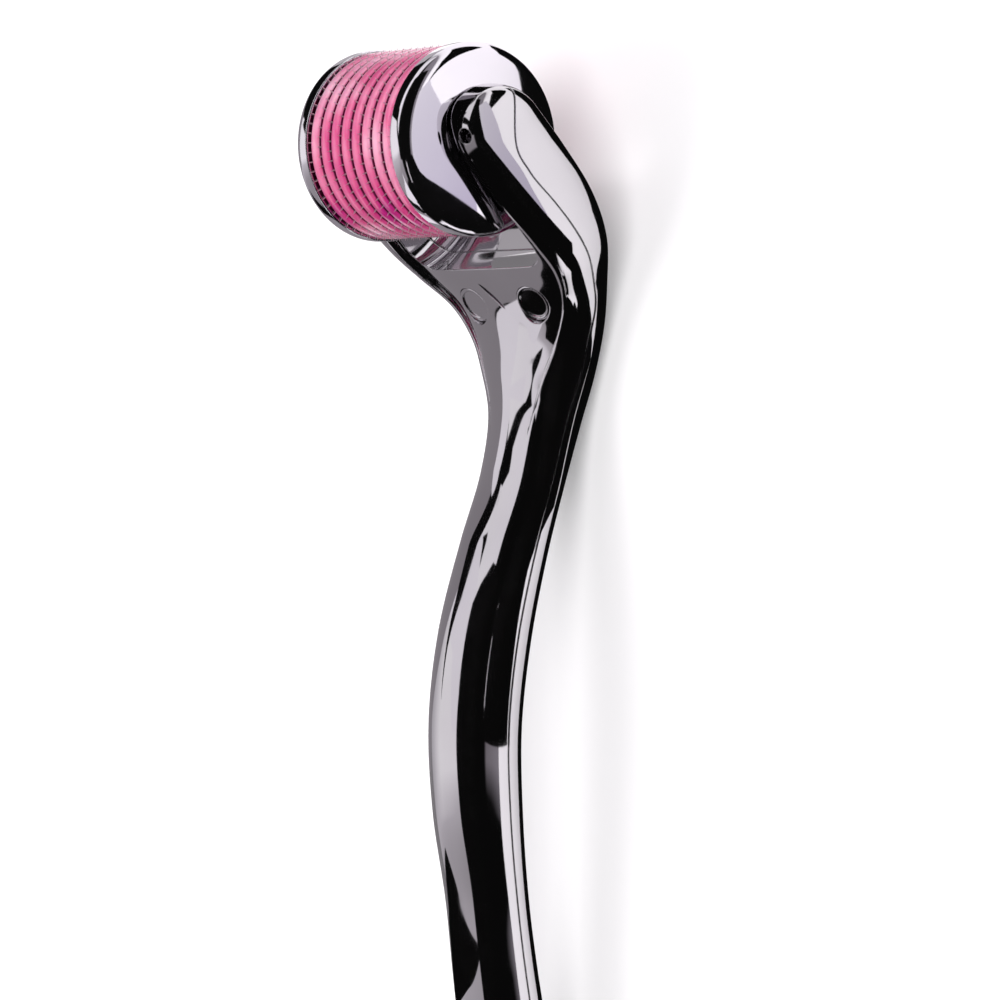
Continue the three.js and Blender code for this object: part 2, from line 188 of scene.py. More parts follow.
# The seam follows the middles of the sections before NECK_STATION, and then these (ahead, above).
NECK_STATION = 14
ARM_SEAM = [(-17.6, -15.2), (-13.5, -12.2), (-10.3, -9.2), (-7.1, -5.7), (-3.8, -2.0), (0, 0), (9, -0.7)]

# ------------------------------------------------------------------ mesh helpers


def mesh_object(name, verts, faces):
    mesh = bpy.data.meshes.new(name)
    mesh.from_pydata([tuple(v) for v in verts], [], faces)
    mesh.update()
    piece = bpy.data.objects.new(name, mesh)
    bpy.context.scene.collection.objects.link(piece)
    return piece


def smooth(piece, angle=30):
    piece.data.polygons.foreach_set("use_smooth", [True] * len(piece.data.polygons))
    piece.data.set_sharp_from_angle(angle=math.radians(angle))


def put_in_place(piece, material, body, node, angle=30):
    """From millimetres round the drum to metres in the frame, riding on its body."""
    piece.data.transform(PLACE)
    smooth(piece, angle)
    piece.data.materials.clear()
    piece.data.materials.append(material)
    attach(piece, body)
    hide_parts(node)


def combine(piece, other, operation):
    """Joins or cuts piece with other, which is used up."""
    modifier = piece.modifiers.new("shape", "BOOLEAN")
    modifier.operation = operation
    modifier.solver = "EXACT"
    modifier.object = other
    graph = bpy.context.evaluated_depsgraph_get()
    shaped = bpy.data.meshes.new_from_object(piece.evaluated_get(graph))
    piece.modifiers.clear()
    piece.data = shaped
    bpy.data.objects.remove(other)


def tidy_normals(piece):
    mesh = bmesh.new()
    mesh.from_mesh(piece.data)
    bmesh.ops.recalc_face_normals(mesh, faces=mesh.faces)
    mesh.to_mesh(piece.data)
    mesh.free()


def turned(name, profile, segments):
    """A profile of (out, radius) points turned round the axle, on which it starts and ends."""
    verts = [(0, profile[0][0], 0)]
    faces = []
    inner = profile[1:-1]
    for out, radius in inner:
        for k in range(segments):
            turn = 2 * math.pi * k / segments
            verts.append((radius * math.cos(turn), out, radius * math.sin(turn)))
    verts.append((0, profile[-1][0], 0))
    last = len(verts) - 1
    last_ring = 1 + (len(inner) - 1) * segments
    for k in range(segments):
        following = (k + 1) % segments
        faces.append((0, 1 + following, 1 + k))
        for r in range(len(inner) - 1):
            a, b = 1 + r * segments + k, 1 + r * segments + following
            faces.append((a, b, b + segments, a + segments))
        faces.append((last, last_ring + k, last_ring + following))
    piece = mesh_object(name, verts, faces)
    tidy_normals(piece)
    return piece


def turned_ring(name, profile, segments):
    """A closed profile of (out, radius) points that leaves a hole round the axle."""
    verts = []
    faces = []
    for r, (out, radius) in enumerate(profile):
        here, beyond = r * segments, (r + 1) % len(profile) * segments
        for k in range(segments):
            turn = 2 * math.pi * k / segments
            verts.append((radius * math.cos(turn), out, radius * math.sin(turn)))
            following = (k + 1) % segments
            faces.append((here + k, here + following, beyond + following, beyond + k))
    piece = mesh_object(name, verts, faces)
    tidy_normals(piece)
    return piece


def arc(centre, radius, start, end, steps):
    """Points from one angle to another, in degrees, round a centre; radius is one number or a pair."""
    wide, high = radius if isinstance(radius, tuple) else (radius, radius)
    turns = [math.radians(start + (end - start) * i / steps) for i in range(steps + 1)]
    return [(centre[0] + wide * math.cos(t), centre[1] + high * math.sin(t)) for t in turns]


def across(name, outline, half_width):
    """An outline of (ahead, above) points carried across the part."""
    count = len(outline)
    verts = [(x, -half_width, z) for x, z in outline] + [(x, half_width, z) for x, z in outline]
    faces = [tuple(range(count)), tuple(range(2 * count - 1, count - 1, -1))]
    faces += [(i, i + count, (i + 1) % count + count, (i + 1) % count) for i in range(count)]
    piece = mesh_object(name, verts, faces)
    tidy_normals(piece)
    return piece


# ------------------------------------------------------------------ handle


def station_places():
    steps = np.hypot(np.diff(STATIONS[:, 0]), np.diff(STATIONS[:, 1]))
    return np.concatenate([[0], np.cumsum(steps)])


PLACES = station_places()
SPINE = PLACES[-1]


def section_at(place):
    """Cubic blend of the stations, with natural ends."""
    i = int(np.clip(np.searchsorted(PLACES, place, side="right") - 1, 0, len(PLACES) - 2))
    t0, t1 = PLACES[i], PLACES[i + 1]
    v0, v1 = STATIONS[i], STATIONS[i + 1]
    before, t_before = (STATIONS[i - 1], PLACES[i - 1]) if i > 0 else (v1, t1)
    after, t_after = (STATIONS[i + 2], PLACES[i + 2]) if i + 2 < len(PLACES) else (v0, t0)
    p = (place - t0) / (t1 - t0)
    half = (t1 - t0) / 2
    wp, wn = half / (t0 - t_before), half / (t_after - t1)
    return (
        before * (-wp * p**3 + 2 * wp * p**2 - wp * p)
        + v0 * ((1 + wp) * p**3 + (-1.5 - 2 * wp) * p**2 + (-0.5 + wp) * p + 1)
        + v1 * ((-1 - wn) * p**3 + (1.5 + wn) * p**2 + 0.5 * p)
        + after * (wn * p**3 - wn * p**2)
    )


def limb_outline(half_width, front, squareness, crease, step):
    """Out and front reach of half the front side, from the side of the section to its middle.

    The section is a rounded square whose front is stepped down inside the crease; the step rises to
    the full front over a round shoulder.
    """
    power = 2 / squareness
    shoulder = min(SHOULDER, SHOULDER_SHARE * (half_width - crease))

    def turn_at(out):
        return math.acos((out / half_width) ** (1 / power))

    turns = np.linspace(FRONT_START, turn_at(crease + shoulder), OUTER_POINTS, endpoint=False)
    outer = half_width * np.cos(turns) ** power
    edge = crease + shoulder * np.linspace(1, 0, SHOULDER_POINTS) ** SHOULDER_CROWDING
    inner = crease * np.linspace(1, 0, PANEL_POINTS)[1:]
    out = np.concatenate([outer, edge, inner])
    reach = front * (1 - (out / half_width) ** squareness) ** (1 / squareness)
    rise = np.clip((out - crease) / shoulder, 0, 1)
    return out, reach - max(step, 0) * (1 - np.sqrt(1 - (1 - rise) ** 2))


def ring(section, taper=1.0, narrow=1.0, along=0.0):
    """The points round one section, scaled in height and width and moved along the limb."""
    ahead, above, slope, half_width, front, back, squareness, crease, step = section
    slope = math.radians(slope)
    forward = np.array([math.cos(slope), 0, math.sin(slope)])
    up = np.array([-forward[2], 0, forward[0]])
    middle = np.array([ahead, 0, above]) + forward * along
    out, reach = limb_outline(half_width, front, squareness, crease, step)
    power = 2 / squareness
    turn = np.linspace(0, math.pi / 2, BACK_POINTS)[:-1]
    turn = turn + (squareness - 2) * CORNER_SPREAD * np.sin(4 * turn)
    back_out = half_width * np.cos(turn) ** power
    back_reach = -back * np.sin(turn) ** power
    half_out = np.concatenate([[0], back_out[::-1], out[:-1]])
    half_reach = np.concatenate([[-back], back_reach[::-1], reach[:-1]])
    width = np.concatenate([half_out, [0], -half_out[:0:-1]]) * narrow
    height = np.concatenate([half_reach, [reach[-1]], half_reach[:0:-1]]) * taper
    points = middle + np.outer(height, up)
    points[:, 1] = width
    return points


def loft(name, rings):
    """A closed skin through rings of points, with a fan over each end."""
    count = len(rings[0])
    verts = np.concatenate(rings + [rings[0].mean(0)[None], rings[-1].mean(0)[None]])
    faces = []
    for r in range(len(rings) - 1):
        for i in range(count):
            a, b = r * count + i, r * count + (i + 1) % count
            faces.append((a, b, b + count, a + count))
    first, last = len(verts) - 2, len(verts) - 1
    base = (len(rings) - 1) * count
    for i in range(count):
        j = (i + 1) % count
        faces.append((first, j, i))
        faces.append((last, base + i, base + j))
    return mesh_object(name, verts, faces)


def handle_skin():
    rings = []
    for part in np.linspace(*TAIL_PARTS, TAIL_RINGS) ** TAIL_CROWDING:
        round_off = math.sqrt(1 - (1 - part) ** 2)
        rings.append(ring(section_at(part * TAIL_ROUND), round_off, round_off))
    steps = int((SPINE - TAIL_ROUND) / RING_STEP)
    for place in np.linspace(TAIL_ROUND, SPINE, steps):
        rings.append(ring(section_at(place)))
    tip = section_at(SPINE)
    for angle in np.radians(np.linspace(*TIP_TURN, TIP_RINGS)):
        taper = math.cos(angle)
        narrow = 1 - TIP_NARROWING * (1 - taper)
        rings.append(ring(tip, taper, narrow, TIP_REACH * math.sin(angle)))
    skin = loft("handle_skin", rings)
    for vertex in skin.data.vertices:
        vertex.co.z = max(vertex.co.z, -REST)
    return skin


def slot_cutter():
    corner = arc((FORK_INSIDE - SLOT_CORNER, SLOT_RADIUS - SLOT_CORNER), SLOT_CORNER, 0, 90, SLOT_STEPS)
    profile = [(-FORK_INSIDE, 0)] + [(-out, radius) for out, radius in corner]
    profile += corner[::-1] + [(FORK_INSIDE, 0)]
    return turned("slot", profile, FINE_SEGMENTS)


def seam_line():
    """The parting line in side view, tail to tip, as a smooth curve through its points."""
    knots = [SEAM_START] + [tuple(s[:2]) for s in STATIONS[1:NECK_STATION]] + ARM_SEAM
    knots = np.array(knots)
    line = []
    for i in range(len(knots) - 1):
        p0, p1, p2 = knots[max(i - 1, 0)], knots[i], knots[i + 1]
        p3 = knots[min(i + 2, len(knots) - 1)]
        for t in np.arange(SEAM_STEPS) / SEAM_STEPS:
            line.append(0.5 * (
                2 * p1 + (p2 - p0) * t + (2 * p0 - 5 * p1 + 4 * p2 - p3) * t**2
                + (3 * p1 - p0 - 3 * p2 + p3) * t**3
            ))
    line.append(knots[-1])
    return np.array(line)


def seam_side(front):
    """A solid that holds everything in front of the seam, or everything behind it."""
    direction = 1 if front else -1
    line = seam_line() + np.array([0, direction * SEAM / 2])
    outline = [tuple(p) for p in line]
    outline += [(outline[i][0], direction * SEAM_REACH) for i in (-1, 0)]
    return across("seam_side", outline, SEAM_HALF_WIDTH)


def at_plug(side, tilt=0.0):
    """Places a shape whose +Z points out of the neck's front face."""
    lean = Matrix.Rotation(-PLUG_LEAN, 4, "Y") @ Matrix.Rotation(tilt, 4, "X")
    place = Matrix.Translation((PLUG_PLACE[0], side * PLUG_SPREAD, PLUG_PLACE[1]))
    return place @ lean


def lathe_z(name, profile, segments):
    """A profile of (radius, above) points turned round +Z, on which it starts and ends."""
    piece = turned(name, [(z, radius) for radius, z in profile], segments)
    piece.data.transform(Matrix.Rotation(math.pi / 2, 4, "X"))
    return piece


def plug_pocket(side):
    radius = PLUG_RADIUS + POCKET_GAP
    profile = [(0, -POCKET_DEPTH), (radius, -POCKET_DEPTH), (radius, POCKET_TOP), (0, POCKET_TOP)]
    piece = lathe_z("pocket", profile, PLUG_SEGMENTS)
    piece.data.transform(at_plug(side))
    return piece


def pin_hole(side):
    profile = [(radius, PIN_HOLE_BOTTOM) for radius in (0, PIN_HOLE_RADIUS)]
    profile += [(radius, PIN_HOLE_TOP) for radius in (PIN_HOLE_RADIUS, 0)]
    piece = lathe_z("pin_hole", profile, HOLE_SEGMENTS)
    piece.data.transform(Matrix.Translation((0, side * PIN_HOLE_OUT, 0)))
    return piece


def slash():
    """The thin slanting mark between the plugs, as a long thin lens that cuts into the face."""
    turns = np.linspace(math.pi, 0, SLASH_POINTS)
    profile = [(SLASH_LENGTH / 2 * math.cos(t), SLASH_RADIUS * math.sin(t)) for t in turns]
    piece = turned("slash", profile, SLASH_SEGMENTS)
    stretch = Matrix.Diagonal((*SLASH_STRETCH, 1))
    turn = Matrix.Rotation(math.radians(SLASH_TURN), 4, "Z")
    piece.data.transform(at_plug(0) @ Matrix.Translation((*SLASH_PLACE, 0)) @ turn @ stretch)
    return piece


def copy_of(piece, name):
    twin = bpy.data.objects.new(name, piece.data.copy())
    bpy.context.scene.collection.objects.link(twin)
    return twin


def make_handle(material):
    skin = handle_skin()
    combine(skin, slot_cutter(), "DIFFERENCE")
    for _, side in SIDES:
        combine(skin, plug_pocket(side), "DIFFERENCE")
        combine(skin, pin_hole(side), "DIFFERENCE")
    combine(skin, slash(), "DIFFERENCE")
    back = copy_of(skin, "back_cover")
    combine(skin, seam_side(front=True), "INTERSECT")
    combine(back, seam_side(front=False), "INTERSECT")
    skin.name = "front_cover"
    put_in_place(skin, material, "handle", "front_shell")
    put_in_place(back, material, "handle", "back_shell")


def plug_profile():
    """From the plug's back, up its side, over the bead and across the shallow dish of its face."""
    r = PLUG_RADIUS
    profile = [(0, -PLUG_DEPTH), (r - PLUG_BEVEL, -PLUG_DEPTH), (r, PLUG_BEVEL - PLUG_DEPTH)]
    profile.append((r, PLUG_SIDE_TOP))
    profile += arc((r - PLUG_BEAD, PLUG_BEAD_LEVEL), PLUG_BEAD, 0, 90, BEAD_STEPS)
    profile += arc((r - PLUG_BEAD_INNER, PLUG_BEAD_LEVEL), PLUG_BEAD, 90, 180, BEAD_STEPS)
    return profile + [(r - inwards, level) for inwards, level in PLUG_DISH]


def make_plugs(material):
    for name, side in SIDES:
        piece = lathe_z(f"plug_{name}", plug_profile(), PLUG_SEGMENTS)
        tilt = PLUG_TILT if name == "right" else 0
        piece.data.transform(at_plug(side, tilt))
        put_in_place(piece, material, "handle", f"neck_plug_{name}")


# ------------------------------------------------------------------ drum


def row_places():
    return [(i - (ROWS - 1) / 2) * PITCH for i in range(ROWS)]


def make_spacers(material):
    half = (PITCH - GROOVE) / 2
    for i, row in enumerate(row_places()[:-1]):
        out = row + PITCH / 2
        crown = arc((0, SPACER_EDGE), (half, SPACER_CROWN - SPACER_EDGE), 180, 0, CROWN_STEPS)
        profile = [(-half, CORE_HOLE)] + crown + [(half, CORE_HOLE)]
        piece = turned_ring(f"clear_disc_{i + 1}", [(out + o, r) for o, r in profile], DISC_SEGMENTS)
        put_in_place(piece, material, "drum", f"spacer_disc_{i + 1}", angle=50)


def needle(mesh, turn, out):
    """A fine tapered needle standing out of its row."""
    direction = Vector((math.cos(turn), 0, math.sin(turn)))
    tangent = Vector((-math.sin(turn), 0, math.cos(turn)))
    sideways = Vector((0, 1, 0))
    corners = [2 * math.pi * k / NEEDLE_SIDES for k in range(NEEDLE_SIDES)]
    levels = ((NEEDLE_RADIUS, NEEDLE_FOOT), (NEEDLE_RADIUS * NEEDLE_TAPER, NEEDLE_SHOULDER))
    rings = []
    for radius, height in levels:
        middle = direction * height + sideways * out
        rings.append([
            mesh.verts.new(middle + (tangent * math.cos(a) + sideways * math.sin(a)) * radius)
            for a in corners
        ])
    tip = mesh.verts.new(direction * TIP_RADIUS + sideways * out)
    for k in range(NEEDLE_SIDES):
        j = (k + 1) % NEEDLE_SIDES
        mesh.faces.new((rings[0][k], rings[1][k], rings[1][j], rings[0][j]))
        mesh.faces.new((rings[1][k], tip, rings[1][j]))
    mesh.faces.new(rings[0])


def make_needle_rows(material):
    """Every second row is turned by half the space between its needles."""
    half = GROOVE / 2 - ROW_GAP
    profile = [(-half, CORE_HOLE), (-half, ROW_FLOOR), (half, ROW_FLOOR), (half, CORE_HOLE)]
    for i, out in enumerate(row_places()):
        row = turned_ring(f"needle_row_{i + 1}", [(out + o, r) for o, r in profile], ROW_SEGMENTS)
        mesh = bmesh.new()
        mesh.from_mesh(row.data)
        for k in range(NEEDLES_PER_ROW):
            needle(mesh, 2 * math.pi * (k + 0.5 * (i % 2)) / NEEDLES_PER_ROW, out)
        bmesh.ops.recalc_face_normals(mesh, faces=mesh.faces)
        mesh.to_mesh(row.data)
        mesh.free()
        put_in_place(row, material, "drum", f"needle_ring_{i + 1}")


def cap_profile():
    """Round the needle side, the rim, the rounded edge and the domed face to the hole."""
    start = CAP_RADIUS - CAP_INNER_ROUND
    profile = [(CAP_INNER, CORE_HOLE), (CAP_INNER, start)]
    profile += arc((CAP_INNER + CAP_INNER_ROUND, start), CAP_INNER_ROUND, 180, 90, CAP_INNER_STEPS)
    edge_size = (CAP_SHOULDER - CAP_RIM_END, CAP_RADIUS - CAP_SHOULDER_RADIUS)
    profile += arc((CAP_RIM_END, CAP_SHOULDER_RADIUS), edge_size, 90, CAP_EDGE_END, CAP_EDGE_STEPS)
    face_out, face_radius = profile[-1]
    for part in np.linspace(*CAP_FACE, CAP_FACE_POINTS):
        rise = (CAP_CROWN - face_out) * (1 - part**2)
        profile.append((face_out + rise, face_radius * part))
    dimple = profile[-1][0] - CAP_DIMPLE
    return profile + [(dimple, AXLE_HOLE), (CORE_END, AXLE_HOLE), (CORE_END, CORE_HOLE)]


def make_caps(material):
    for name, side in SIDES:
        profile = [(side * out, radius) for out, radius in cap_profile()]
        piece = turned_ring(f"drum_cap_{name}", profile, FINE_SEGMENTS)
        put_in_place(piece, material, "drum", f"end_cap_{name}")


# ------------------------------------------------------------------ materials


NOISE_RANGE = (0.3, 0.7)  # where nearly all values of a noise lie

# Radii, in metres, over which the painted shade in the grooves fades out: a disc turns from painted dark
# to pink and a needle from painted dark to bright.
PINK_SHADE_RADII = ((SPACER_EDGE + 0.1) * MM, (SPACER_EDGE + 0.2) * MM)
NEEDLE_SHADE_RADII = (ROW_FLOOR * MM, (SPACER_EDGE + 0.1) * MM)


class Nodes:
    """Short calls for building one material's node tree."""

    def __init__(self, name):
        self.material = bpy.data.materials.new(name)
        self.material.use_nodes = True
        self.tree = self.material.node_tree
        self.shader = self.tree.nodes["Principled BSDF"]

    def add(self, kind, **values):
        node = self.tree.nodes.new(kind)
        for key, value in values.items():
            if hasattr(node, key):
                setattr(node, key, value)
            else:
                node.inputs[key.replace("_", " ")].default_value = value
        return node

    def link(self, source, target):
        self.tree.links.new(source, target)

    def noise(self, scale, detail, roughness=0.5):
        place = self.add("ShaderNodeTexCoord")
        noise = self.add("ShaderNodeTexNoise", Scale=scale, Detail=detail, Roughness=roughness)
        self.link(place.outputs["Object"], noise.inputs["Vector"])
        return noise.outputs["Fac"]

    def radius(self):
        """Distance from the axle's line, in metres."""
        place = self.add("ShaderNodeTexCoord")
        to_axle = self.add("ShaderNodeVectorMath", operation="SUBTRACT")
        to_axle.inputs[1].default_value = AXLE
        self.link(place.outputs["Object"], to_axle.inputs[0])
        flat = self.add("ShaderNodeVectorMath", operation="MULTIPLY")
        flat.inputs[1].default_value = (1, 0, 1)
        self.link(to_axle.outputs["Vector"], flat.inputs[0])
        length = self.add("ShaderNodeVectorMath", operation="LENGTH")
        self.link(flat.outputs["Vector"], length.inputs[0])
        return length.outputs["Value"]

    def spread(self, noise, low, high):
        """Noise mapped to a range."""
        start, end = NOISE_RANGE
        node = self.add("ShaderNodeMapRange", From_Min=start, From_Max=end, To_Min=low, To_Max=high)
        self.link(noise, node.inputs["Value"])
        return node.outputs["Result"]

    def set(self, **values):
        for key, value in values.items():
            self.shader.inputs[key.replace("_", " ")].default_value = value

    def bump(self, height, distance, strength, normal=None):
        node = self.add("ShaderNodeBump", Distance=distance, Strength=strength)
        self.link(height, node.inputs["Height"])
        if normal:
            self.link(normal, node.inputs["Normal"])
        self.link(node.outputs["Normal"], self.shader.inputs["Normal"])


def set_stops(ramp, stops):
    stops = list(stops)
    elements = ramp.color_ramp.elements
    while len(elements) < len(stops):
        elements.new(0.5)
    for element, (position, colour) in zip(elements, stops):
        element.position = position
        element.color = (*colour, 1)


def map_range(tree, source, start, end):
    """A socket's value from start to end, mapped to 0 to 1."""
    node = tree.nodes.new("ShaderNodeMapRange")
    node.inputs["From Min"].default_value = start
    node.inputs["From Max"].default_value = end
    tree.links.new(source, node.inputs["Value"])
    return node.outputs["Result"]


def math_node(tree, operation, *values):
    """The result of one sum; a value is a number or another node's socket."""
    node = tree.nodes.new("ShaderNodeMath")
    node.operation = operation
    for socket, value in zip(node.inputs, values):
        if isinstance(value, (int, float)):
            socket.default_value = value
        else:
            tree.links.new(value, socket)
    return node.outputs["Value"]


def mix_node(tree, factor, first, second):
    """One colour turned into another by a factor; a colour is four numbers or a node's socket."""
    node = tree.nodes.new("ShaderNodeMix")
    node.data_type = "RGBA"
    tree.links.new(factor, node.inputs["Factor"])
    for name, value in (("A", first), ("B", second)):
        socket = next(i for i in node.inputs if i.name == name and i.type == "RGBA")
        if isinstance(value, tuple):
            socket.default_value = value
        else:
            tree.links.new(value, socket)
    return next(o for o in node.outputs if o.type == "RGBA")


def tint_range(nodes, noise, dark, light):
    """A base colour that wanders between two shades."""
    ramp = nodes.add("ShaderNodeValToRGB")
    set_stops(ramp, zip(NOISE_RANGE, (dark, light)))
    nodes.link(noise, ramp.inputs["Fac"])
    nodes.link(ramp.outputs["Color"], nodes.shader.inputs["Base Color"])


def plated(name, dark, light, roughness):
    """Polished plating on moulded plastic: slight waviness, faint haze and handling marks."""
    nodes = Nodes(name)
    nodes.set(Metallic=1.0)
    tint_range(nodes, nodes.noise(60, detail=3), dark, light)
    marks = nodes.noise(350, detail=6, roughness=0.6)
    haze = nodes.spread(marks, roughness * 0.6, roughness * 1.5)
    nodes.link(haze, nodes.shader.inputs["Roughness"])
    rounded = nodes.add("ShaderNodeBevel", samples=6, Radius=0.00022)
    waves = nodes.noise(140, detail=2)
    nodes.bump(waves, distance=0.00002, strength=0.12, normal=rounded.outputs["Normal"])
    return nodes.material


def clear_pink():
    """Pink moulded plastic, mottled from magenta to pale pink with painted highlight patches, and dark
    with painted shade on the discs' flanks down in the grooves.
    """
    nodes = Nodes("clear_pink_plastic")
    nodes.set(Roughness=0.18, IOR=1.5, Coat_Weight=1.0, Coat_Roughness=0.06)
    nodes.set(Transmission_Weight=0.15, Subsurface_Weight=0.35, Subsurface_Scale=0.0015)
    nodes.set(Subsurface_Radius=(1.0, 0.3, 0.5))
    # Partly the plastic's own uneven tint, partly painted highlights: the palest stop makes pale patches
    # that stand in for highlights.
    ramp = nodes.add("ShaderNodeValToRGB")
    set_stops(ramp, [
        (0.30, (0.46, 0.002, 0.22)),
        (0.42, (0.70, 0.06, 0.25)),
        (0.53, (0.80, 0.16, 0.34)),
        (0.68, (0.95, 0.46, 0.62)),
    ])
    nodes.link(nodes.noise(95, detail=3, roughness=0.45), ramp.inputs["Fac"])
    crown = map_range(nodes.tree, nodes.radius(), *PINK_SHADE_RADII)
    # The dark colour is painted shade at the foot of each disc, in the groove between discs.
    colour = mix_node(nodes.tree, crown, (0.10, 0.004, 0.035, 1), ramp.outputs["Color"])
    nodes.link(colour, nodes.shader.inputs["Base Color"])
    nodes.bump(nodes.noise(500, detail=3), distance=0.00003, strength=0.15)
    return nodes.material


def needle_steel():
    """Bright needles that stand out of a row whose body is painted dark, as painted shade deep in the
    groove, with the pink round it.
    """
    nodes = Nodes("needle_steel_bright")
    height = map_range(nodes.tree, nodes.radius(), *NEEDLE_SHADE_RADII)
    ramp = nodes.add("ShaderNodeValToRGB")
    # The dark low stop is painted shade at the foot of the groove; the needles above it are bright.
    set_stops(ramp, [(0.1, (0.09, 0.004, 0.03)), (0.9, (0.62, 0.40, 0.48))])
    nodes.link(height, ramp.inputs["Fac"])
    nodes.link(ramp.outputs["Color"], nodes.shader.inputs["Base Color"])
    nodes.set(Metallic=0.55)
    haze = nodes.spread(nodes.noise(1500, detail=3), 0.28, 0.45)
    nodes.link(haze, nodes.shader.inputs["Roughness"])
    return nodes.material


def plain_steel():
    nodes = Nodes("axle_steel_plain")
    nodes.set(Metallic=1.0)
    tint_range(nodes, nodes.noise(400, detail=4), (0.42, 0.42, 0.43), (0.6, 0.6, 0.62))
    haze = nodes.spread(nodes.noise(700, detail=4), 0.25, 0.45)
    nodes.link(haze, nodes.shader.inputs["Roughness"])
    return nodes.material


def natural_plastic():
    nodes = Nodes("core_plastic_natural")
    tint_range(nodes, nodes.noise(300, detail=4), (0.78, 0.7, 0.74), (0.86, 0.8, 0.83))
    haze = nodes.spread(nodes.noise(500, detail=4), 0.35, 0.5)
    nodes.link(haze, nodes.shader.inputs["Roughness"])
    return nodes.material


def paint_hidden_nodes():
    """The inner pieces keep their CAD shape and get their own materials."""
    looks = {
        "axle": plain_steel(),
        "shell_screw_left": plain_steel(),
        "shell_screw_right": plain_steel(),
        "hub_core": natural_plastic(),
    }
    for name, material in looks.items():
        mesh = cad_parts[name].data
        mesh.materials.clear()
        mesh.materials.append(material)


# ------------------------------------------------------------------ stage

CAMERA_TURN = math.radians(52.9)  # from straight above the needles towards the right end of the drum
CAMERA_RAISE = math.radians(1.06)  # towards the head
CAMERA_DISTANCE = 0.5644  # metres, as are the two shifts below
CAMERA_LENS = 180
VIEW_RIGHT = 0.00835
VIEW_DOWN = 0.04031

BLACK = (0.004, 0.004, 0.004)
GREY = (0.26, 0.25, 0.26)
RIM_GREY = (0.28, 0.26, 0.28)
NECK_GREY = (0.30, 0.28, 0.30)
LOW_GREY = (0.5, 0.48, 0.5)
WHITE = (0.95, 0.92, 0.97)
DEEP_LILAC = (0.62, 0.57, 0.72)
PALE_LILAC = (0.93, 0.91, 0.95)

FLOOR_REACH = 3
CARD_FLOOR = 0.2 - REST  # the lowest cards lie just over the floor
CARD_BLEND = (0.15, 0.95)  # where a card with two shades blends

# The background goes by turn (0 at the right horizon, 0.5 straight up, 1 at the left horizon) and
# by how far a direction points along +X.
LINE_TURN = 0.605
LINE_SHIFT = 0.165
LINE_WIDTH = 0.095
LINE_SOFTNESS = 0.006
LINE_BEND = (0, 0.27)  # this and the next three are ranges along X
LINE_GROWTH = (-0.16, 0.02)
LINE_ENDING = (0.42, 0.36)
TAIL_PART = (-0.14, -0.22)
LIT_TURN = (0.50, 0.53)  # where the tail part changes from dark to lit


def make_camera():
    level = Vector((0, -math.sin(CAMERA_TURN), math.cos(CAMERA_TURN)))
    back = level * math.cos(CAMERA_RAISE) + Vector((1, 0, 0)) * math.sin(CAMERA_RAISE)
    right = Vector((1, 0, 0)).cross(back).normalized()
    up = back.cross(right)
    data = bpy.data.cameras.new("camera")
    data.lens = CAMERA_LENS
    data.sensor_width = 36
    data.clip_start = 0.01
    camera = bpy.data.objects.new("camera", data)
    bpy.context.scene.collection.objects.link(camera)
    axes = Matrix((right, up, back)).transposed().to_4x4()
    place = AXLE + back * CAMERA_DISTANCE + right * VIEW_RIGHT - up * VIEW_DOWN
    camera.matrix_world = Matrix.Translation(place) @ axes
    bpy.context.scene.camera = camera


def make_floor():
    corners = [(x * FLOOR_REACH, y * FLOOR_REACH, 0) for x, y in ((-1, -1), (1, -1), (1, 1), (-1, 1))]
    floor = mesh_object("floor", corners, [(0, 1, 2, 3)])
    nodes = Nodes("floor_white")
    nodes.set(Roughness=0.9, Specular_IOR_Level=0.0, Base_Color=(0.7, 0.69, 0.7, 1))
    nodes.set(Emission_Color=(1, 0.99, 1, 1), Emission_Strength=0.34)
    floor.data.materials.append(nodes.material)


def flag(name, corners, shade, head_shade=None):
    """A card beside the roller that only its polish sees; corners are millimetres round the drum.

    With a second shade the card blends to it towards the head and upwards.
    """
    card = mesh_object(name, corners, [tuple(range(len(corners)))])
    card.data.transform(PLACE)
    nodes = Nodes(name)
    nodes.set(Base_Color=(0, 0, 0, 1), Roughness=1.0, Specular_IOR_Level=0.0)
    nodes.set(Emission_Color=(*shade, 1), Emission_Strength=1.0)
    if head_shade:
        place = nodes.add("ShaderNodeTexCoord")
        ramp = nodes.add("ShaderNodeValToRGB")
        set_stops(ramp, zip(CARD_BLEND, (shade, head_shade)))
        nodes.link(place.outputs["Generated"], ramp.inputs["Fac"])
        nodes.link(ramp.outputs["Color"], nodes.shader.inputs["Emission Color"])
    card.data.materials.append(nodes.material)
    card.visible_camera = False
    card.visible_diffuse = False
    card.visible_transmission = False
    card.visible_shadow = False


def level_flag(name, outline, height, shade):
    """A flat card; outline is a list of (ahead, out) points."""
    flag(name, [(x, y, height) for x, y in outline], shade)


def upright_flag(name, out, outline, shade, head_shade=None):
    """A card that stands along the roller; outline is a list of (ahead, above) points."""
    flag(name, [(x, out, z) for x, z in outline], shade, head_shade)


